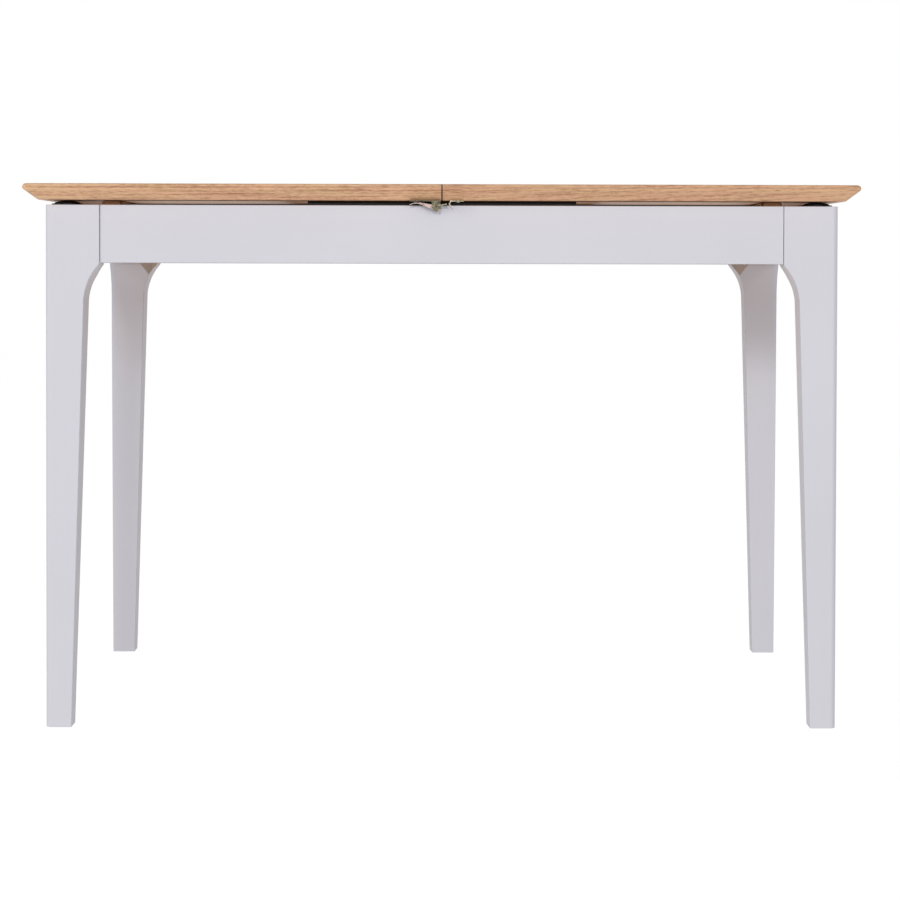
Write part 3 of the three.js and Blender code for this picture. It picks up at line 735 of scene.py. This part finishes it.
def modelLeafHalf():
    low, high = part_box("leaf_half_upper")
    board = modelBoard("oak_leaf_half_upper", low, high, (0, low.y, low.z), 0, 1)
    tools = []
    for side, end in ((-1, low.x), (1, high.x)):
        easeEnd(board, end)
        tools += dowelHoles(leafDowels, end, side)
        tools.append(armPocketTool(end, side, low.z))
    cutAway(board, tools)
    return board


# The lower half is the upper one turned over about the height where they lie together
leafHalf = modelLeafHalf()
foldZ = (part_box("leaf_half_upper")[0].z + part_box("leaf_half_lower")[1].z) / 2
turnedOver = Matrix.Translation((0, 0, foldZ)) @ Matrix.Rotation(math.pi, 4, "Y") \
    @ Matrix.Translation((0, 0, -foldZ))
lowerHalf = copyShape(leafHalf, "oak_leaf_half_lower", turnedOver)
seat(smooth(leafHalf, boardShape["crease"]), "leaf_half_upper", finishes["oakLeaf"])
seat(smooth(lowerHalf, boardShape["crease"]), "leaf_half_lower", finishes["oakLeaf"])
print("leaf modelled")


glideShape = {
    "flange": 0.0013, "arris": 0.0005, "facets": 56, "domeRadius": 0.0186, "domeFoot": 0.0003,
    "steps": 9, "dimpleRim": 0.0004, "dimpleSlope": 0.0006, "dimpleDepth": 0.0007, "crease": 40,
}


# A flat flange under a low dome with a nail dimple
def modelGlide():
    low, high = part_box("leg_glide_front_left")
    centre = (low + high) / 2
    radius = (high.x - low.x) / 2
    top = low.z + glideShape["flange"] + glideShape["arris"]
    glide = startRod("glide", (centre.x, centre.y, low.z), (centre.x, centre.y, top), radius,
                     glideShape["facets"])
    pickFaces(glide, lambda spot, normal: normal.z > 0.9)
    bpy.ops.mesh.inset(thickness=radius - glideShape["domeRadius"])
    bpy.ops.mesh.extrude_region_move(TRANSFORM_OT_translate={"value": (0, 0, glideShape["domeFoot"])})
    size, height = 1.0, 0.0
    dome = high.z - top - glideShape["domeFoot"]
    for step in range(1, glideShape["steps"] + 1):
        angle = math.pi / 2 * step / (glideShape["steps"] + 1)
        nextSize, nextHeight = math.cos(angle), dome * math.sin(angle)
        bpy.ops.mesh.extrude_region_move(TRANSFORM_OT_translate={"value": (0, 0, nextHeight - height)})
        bpy.ops.transform.resize(value=(nextSize / size, nextSize / size, 1), center_override=centre)
        size, height = nextSize, nextHeight
    bpy.ops.mesh.inset(thickness=glideShape["dimpleRim"])
    bpy.ops.mesh.inset(thickness=glideShape["dimpleSlope"], depth=-glideShape["dimpleDepth"])
    leaveEdit()
    roundEdges(glide, lambda a, b: onPlane(2, top)(a, b) and (a - centre).xy.length > radius - 1e-4
               and (b - centre).xy.length > radius - 1e-4, glideShape["arris"], 2)
    return glide


seatAtCorners(modelGlide(), "plastic_glide_", "leg_glide_", finishes["blackPlastic"],
              glideShape["crease"])

boltShape = {
    "radius": 0.004, "root": 0.0034, "pitch": 0.00125, "half": 0.03795, "threadTo": -0.0155,
    "point": 0.75,               # share of the width that is left at the tip
    "washer": 0.01, "washerSpan": (-0.02555, -0.02395), "washerEdge": 0.0003,
    "nut": 0.0075, "nutSpan": (-0.03215, -0.02560), "nutEdge": 0.0006, "crease": 40,
}


# A disc or a nut on the bolt, from one place to another along X, with its outer edges rounded
def modelOnBolt(name, span, radius, sides, edge):
    ring = startRod(name, (span[0], 0, 0), (span[1], 0, 0), radius, sides)
    roundEdges(ring, lambda a, b: abs(a.x - b.x) < 1e-6, edge, 2)
    return ring


# A hanger bolt along X with its machine thread, washer and nut, about the middle of its length
def modelBolt():
    radius, root = boltShape["radius"], boltShape["root"]
    half, pitch = boltShape["half"], boltShape["pitch"]
    shank = startRod("bolt", (boltShape["threadTo"], 0, 0), (half, 0, 0), radius, 24)
    pickFaces(shank, lambda spot, normal: normal.x < -0.9)
    for i in range(int((half + boltShape["threadTo"]) / pitch) - 1):
        for before, after in ((radius, root), (root, radius)):
            bpy.ops.mesh.extrude_region_move(TRANSFORM_OT_translate={"value": (-pitch / 2, 0, 0)})
            bpy.ops.transform.resize(value=(1, after / before, after / before),
                                     center_override=(0, 0, 0))
    bpy.ops.mesh.extrude_region_move(TRANSFORM_OT_translate={"value": (-pitch / 2, 0, 0)})
    bpy.ops.transform.resize(value=(1, boltShape["point"], boltShape["point"]),
                             center_override=(0, 0, 0))
    leaveEdit()
    washer = modelOnBolt("washer", boltShape["washerSpan"], boltShape["washer"], 40,
                         boltShape["washerEdge"])
    nut = modelOnBolt("nut", boltShape["nutSpan"], boltShape["nut"], 6, boltShape["nutEdge"])
    return joinShapes("bolt", [shank, washer, nut])


bolt = modelBolt()
for name, sideX, sideY in corners:
    node = "brace_bolt_" + name
    turned = Matrix.Translation(middleOf(node)) @ Matrix.Rotation(math.atan2(sideY, sideX), 4, "Z")
    seat(smooth(copyShape(bolt, "plated_bolt_" + name, turned), boltShape["crease"]),
         node, finishes["platedSteel"])
bpy.data.objects.remove(bolt)

dowelShape = {"facets": 24, "tip": 0.0013, "fluteRim": 0.00018, "fluteDeep": 0.00025, "crease": 30}


# A fluted beech dowel, chamfered at the end that shows
def modelDowel(name, node):
    low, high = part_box(node)
    centre = (low + high) / 2
    radius = (high.z - low.z) / 2
    dowel = startRod(name, (low.x, centre.y, centre.z), (high.x, centre.y, centre.z), radius,
                     dowelShape["facets"])
    roundEdges(dowel, onPlane(0, high.x), dowelShape["tip"], 1)
    number = dowelShape["facets"] / (2 * math.pi)
    pickFaces(dowel, lambda spot, normal: abs(normal.x) < 0.1
              and round(math.atan2(normal.z, normal.y) * number - 0.5) % 2 == 0)
    bpy.ops.mesh.inset(thickness=dowelShape["fluteRim"], depth=-dowelShape["fluteDeep"],
                       use_individual=True)
    leaveEdit()
    return smooth(dowel, dowelShape["crease"])


for node in seamDowels + ["leaf_dowel_%s_%d" % (half, i) for half in ("upper", "lower") for i in (1, 2)]:
    seat(modelDowel("fluted_" + node, node), node, finishes["dowelWood"])

for node in ["slide_rail_" + name for name in sidesY] + ["slide_runner_" + name for name, _, _ in corners]:
    seat(easedCopy(node, *easedEdges["slide"]), node, finishes["slideSteel"])
for name in sidesX:
    for node in ("leaf_pivot_" + name, "leaf_arm_" + name):
        seat(easedCopy(node, *easedEdges["leafPlate"]), node, finishes["platedSteel"])
    for half in ("upper", "lower"):
        node = "leaf_hinge_" + name + "_" + half
        seat(easedCopy(node, *easedEdges["hinge"]), node, finishes["platedSteel"])
print("fittings modelled")


bailShape = {
    "wire": 0.0009, "bend": 0.0014, "foot": 0.0058, "half": 0.0036, "vertices": 14, "bendSteps": 7,
    "crease": 50,
}


# One length of wire: circle, extruded along its straights and spun round its bends
def modelBail():
    low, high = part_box("front_catch_bail")
    middle = (low.y + high.y) / 2
    wire, foot, half, bend = (bailShape[key] for key in ("wire", "foot", "half", "bend"))
    start = Vector((low.x + wire, middle, low.z + wire))
    tip = Vector((high.x - wire, middle, high.z - wire))
    along = (tip - start).normalized()
    across = Vector((0, 1, 0))
    spot = start - across * foot
    bail = startShape("bail", bpy.ops.mesh.primitive_circle_add, spot, turn=(math.pi / 2, 0, 0),
                      vertices=bailShape["vertices"], radius=wire, fill_type="NGON")
    edit(bail)
    bpy.ops.mesh.select_all(action="SELECT")
    arm, end = (tip - start).length - 2 * bend, foot - half - bend
    straights = (end, arm, 2 * (half - bend), arm, end)
    headings = (across, along, across, -along, across)
    for i, (length, heading) in enumerate(zip(straights, headings)):
        move = heading * length
        bpy.ops.mesh.extrude_region_move(TRANSFORM_OT_translate={"value": move})
        spot = spot + move
        if i + 1 < len(headings):
            onward = headings[i + 1]
            centre = spot + onward * bend
            bpy.ops.mesh.spin(steps=bailShape["bendSteps"], angle=math.pi / 2, center=centre,
                              axis=heading.cross(onward))
            spot = centre + heading * bend
    leaveEdit()
    faceOutwards(bail)
    return bail


bail = modelBail()
halfTurn = Matrix.Rotation(math.pi, 4, "Z")
for name, turned in (("front", Matrix.Identity(4)), ("back", halfTurn)):
    seat(smooth(copyShape(bail, "wire_bail_" + name, turned), bailShape["crease"]),
         name + "_catch_bail", finishes["catchZinc"])
    for part, finish in (("base", "catchOlive"), ("lever", "catchSteel"), ("keeper", "catchZinc")):
        node = name + "_catch_" + part
        seat(easedCopy(node, *easedEdges["catch"]), node, finishes[finish])
bpy.data.objects.remove(bail)
print("catches modelled")


screwShape = {
    "head": 0.0031, "rise": 0.0014, "wall": 0.45, "rounding": ((0.93, 0.25), (0.84, 0.2), (0.86, 0.1)),
    "slot": 0.0007, "slotReach": 0.0019, "slotDeep": 0.0009, "slotOver": 0.001,
    "twist": 0.7,                # how much further round each next screw has stopped
    "crease": 40,
}


# A pan head with a cross recess, facing up from the origin
def modelScrew():
    radius, rise = screwShape["head"], screwShape["rise"]
    head = startRod("screw", (0, 0, 0), (0, 0, rise * screwShape["wall"]), radius, 20)
    pickFaces(head, lambda spot, normal: normal.z > 0.9)
    for size, height in screwShape["rounding"]:
        bpy.ops.mesh.extrude_region_move(TRANSFORM_OT_translate={"value": (0, 0, rise * height)})
        bpy.ops.transform.resize(value=(size, size, 1), center_override=(0, 0, 0))
    leaveEdit()
    reach, half = screwShape["slotReach"], screwShape["slot"] / 2
    floor, top = rise - screwShape["slotDeep"], rise + screwShape["slotOver"]
    cutAway(head, [startBox("slot_tool", (-reach, -half, floor), (reach, half, top)),
                   startBox("slot_tool", (-half, -reach, floor), (half, reach, top))])
    return head


screw = modelScrew()


# Screw heads on one node, one at each place, all facing the way given
def driveScrews(node, places, facing, finish="platedSteel", size=1.0):
    turn = Vector(facing).to_track_quat("Z", "Y").to_matrix().to_4x4()
    heads = []
    for i, place in enumerate(places):
        twist = Matrix.Rotation(screwShape["twist"] * i, 4, "Z")
        spot = Matrix.Translation(place) @ turn @ twist @ Matrix.Scale(size, 4)
        heads.append(copyShape(screw, "screw", spot))
    seat(smooth(joinShapes(node + "_screws", heads), screwShape["crease"]), node, finishes[finish],
         stands=False)


facingUp, facingDown = (0, 0, 1), (0, 0, -1)
runnerScrews = {"line": 0.00725, "fromEnd": 0.025, "under": 0.0015, "places": (-2, -1, 0, 1, 2)}
braceScrews = {"reach": 0.072, "heights": (0.687, 0.714), "skew": 0.2, "size": 1.35}
leafScrews = {"pivotReach": 0.008, "pivotOver": 0.002, "armReach": 0.019, "armOver": 0.006}
catchScrews = {
    "under": 0.0012, "baseAcross": 0.0267, "baseFromEnd": 0.008, "keeperShift": 0.003,
    "keeperAcross": (0.379, 0.361),
}


def screwRunner(name, sideX):
    low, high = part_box("slide_runner_" + name)
    line = middleOf("slide_rail_" + name.split("_")[0]).y + sideX * runnerScrews["line"]
    step = (high.x - runnerScrews["fromEnd"]) / 2
    places = [(x * step, line, high.z - runnerScrews["under"]) for x in runnerScrews["places"]]
    driveScrews("slide_runner_" + name, places, facingDown, "blackSteel")


# Two by two on the face of a corner brace, where |x| passes |y| by the skew
def screwBrace(name, sideX, sideY):
    low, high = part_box("corner_brace_" + name)
    skew = braceScrews["skew"]
    inner = max(abs(low.x), abs(high.x)) + min(abs(low.y), abs(high.y))
    face = Vector(((inner + skew) / 2 * sideX, (inner - skew) / 2 * sideY, 0))
    along = Vector((sideX, -sideY, 0)).normalized()
    places = [face + along * reach + Vector((0, 0, height))
              for reach in (-braceScrews["reach"], braceScrews["reach"])
              for height in braceScrews["heights"]]
    outward = Vector((sideX, sideY, 0)).normalized()
    driveScrews("corner_brace_" + name, places, -outward, size=braceScrews["size"])


def screwLeafPivot(name):
    low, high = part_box("leaf_pivot_" + name)
    rail, middle = middleOf("cross_rail_" + name).x, (low.y + high.y) / 2
    places = [(rail, middle + reach, low.z + leafScrews["pivotOver"])
              for reach in (-leafScrews["pivotReach"], leafScrews["pivotReach"])]
    driveScrews("leaf_pivot_" + name, places, facingUp)


def screwLeafArm(name, side):
    low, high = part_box("leaf_arm_" + name)
    face, middle = high.x if side > 0 else low.x, (low.y + high.y) / 2
    places = [(face, middle + reach, low.z + leafScrews["armOver"])
              for reach in (-leafScrews["armReach"], leafScrews["armReach"])]
    driveScrews("leaf_arm_" + name, places, (side, 0, 0))


def screwCatch(name, side):
    low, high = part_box(name + "_catch_base")
    line = low.y + catchScrews["baseAcross"] if side < 0 else high.y - catchScrews["baseAcross"]
    places = [(x, line, high.z - catchScrews["under"])
              for x in (low.x + catchScrews["baseFromEnd"], high.x - catchScrews["baseFromEnd"])]
    driveScrews(name + "_catch_base", places, facingDown, "catchZinc")
    low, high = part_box(name + "_catch_keeper")
    line = (low.x + high.x) / 2 - side * catchScrews["keeperShift"]
    places = [(line, side * y, high.z - catchScrews["under"]) for y in catchScrews["keeperAcross"]]
    driveScrews(name + "_catch_keeper", places, facingDown, "catchZinc")


for name, sideX, sideY in corners:
    screwRunner(name, sideX)
    screwBrace(name, sideX, sideY)
for name, side in sidesX.items():
    screwLeafPivot(name)
    screwLeafArm(name, side)
for name, side in sidesY.items():
    screwCatch(name, side)
bpy.data.objects.remove(screw)
print("screws driven")


studio = {
    "floor": 30.0, "floorHeight": -0.0004, "floorColour": colour(140, 140, 140),
    "floorShown": 0.9,           # how white the floor is to the camera and in gloss
    "bounce": 0.48,              # and how much of it lights the table from below
    "world": 0.36, "aim": (0, 0, 0.5),
    "lamps": [
        {"place": (-0.6, -9.0, 2.65), "size": 1.1, "power": 174},
        {"place": (3.3, -8.5, 2.2), "size": 2.0, "power": 106},
        {"place": (-3.6, -8.3, 2.2), "size": 2.0, "power": 60},
        {"place": (-8.0, -4.0, 1.8), "size": 2.0, "power": 134},
    ],
}


# 1 where the camera looks, also by way of gloss or glass, and 0 where light only bounces
def seenDirectly(graph):
    path = graph.node("LightPath", {}, {}, "Is Camera Ray").socket.node.outputs
    return Signal(graph, path["Is Camera Ray"]) + Signal(graph, path["Is Glossy Ray"]) \
        + Signal(graph, path["Is Transmission Ray"])


# A floor that shows white, keeps shadows, and can be seen through from underneath
def makeFloor():
    floor = startShape("floor", bpy.ops.mesh.primitive_plane_add, (0, 0, studio["floorHeight"]),
                       (studio["floor"], studio["floor"], 1), size=1)
    pale = Finish("studio_floor", roughness=0.9)
    pale.set("Base Color", studio["floorColour"])
    pale.set("Specular IOR Level", 0.0)
    bounce, shown = ([studio[key]] * 3 + [1.0] for key in ("bounce", "floorShown"))
    pale.set("Emission Color", pale.mix(seenDirectly(pale), bounce, shown))
    pale.set("Emission Strength", 1.0)
    shader = Signal(pale, pale.tree.nodes["Principled BSDF"].outputs[0])
    clear = pale.node("BsdfTransparent", {}, {})
    below = pale.node("NewGeometry", {}, {}, "Backfacing")
    both = pale.node("MixShader", {}, {0: below, 1: shader, 2: clear})
    pale.feed(pale.tree.nodes["Material Output"].inputs["Surface"], both)
    floor.data.materials.append(pale.material)


def makeWorld():
    world = bpy.data.worlds.new("studio")
    bpy.context.scene.world = world
    world.use_nodes = True
    sky = Graph(world.node_tree)
    background = world.node_tree.nodes["Background"].inputs
    background["Color"].default_value = (1, 1, 1, 1)
    sky.feed(background["Strength"], seenDirectly(sky) * (1 - studio["world"]) + studio["world"])


def hangLamp(name, settings):
    lamp = bpy.data.lights.new(name, "AREA")
    lamp.shape = "DISK"
    lamp.size = settings["size"]
    lamp.energy = settings["power"]
    holder = bpy.data.objects.new(name, lamp)
    bpy.context.scene.collection.objects.link(holder)
    holder.location = settings["place"]
    aim = Vector(studio["aim"]) - Vector(settings["place"])
    holder.rotation_euler = aim.to_track_quat("-Z", "Y").to_euler()


cameraView = {
    "place": (0.0222, -3.9459, 0.6688), "lens": 99.278, "sensor": 36, "down": 0.02337, "roll": -0.00245,
    "turn": -0.00399, "shiftX": -0.01911, "shiftY": -0.14058, "farthest": 60,
}


def placeCamera():
    lens = bpy.data.cameras.new("camera")
    lens.lens, lens.sensor_width = cameraView["lens"], cameraView["sensor"]
    lens.shift_x, lens.shift_y = cameraView["shiftX"], cameraView["shiftY"]
    lens.clip_end = cameraView["farthest"]
    holder = bpy.data.objects.new("camera", lens)
    bpy.context.scene.collection.objects.link(holder)
    holder.location = cameraView["place"]
    holder.rotation_euler = (math.pi / 2 - cameraView["down"], cameraView["roll"], cameraView["turn"])
    bpy.context.scene.camera = holder


makeFloor()
makeWorld()
for i, settings in enumerate(studio["lamps"]):
    hangLamp("lamp_%d" % (i + 1), settings)
placeCamera()
bpy.context.scene.view_settings.view_transform = "Standard"
print("studio set")
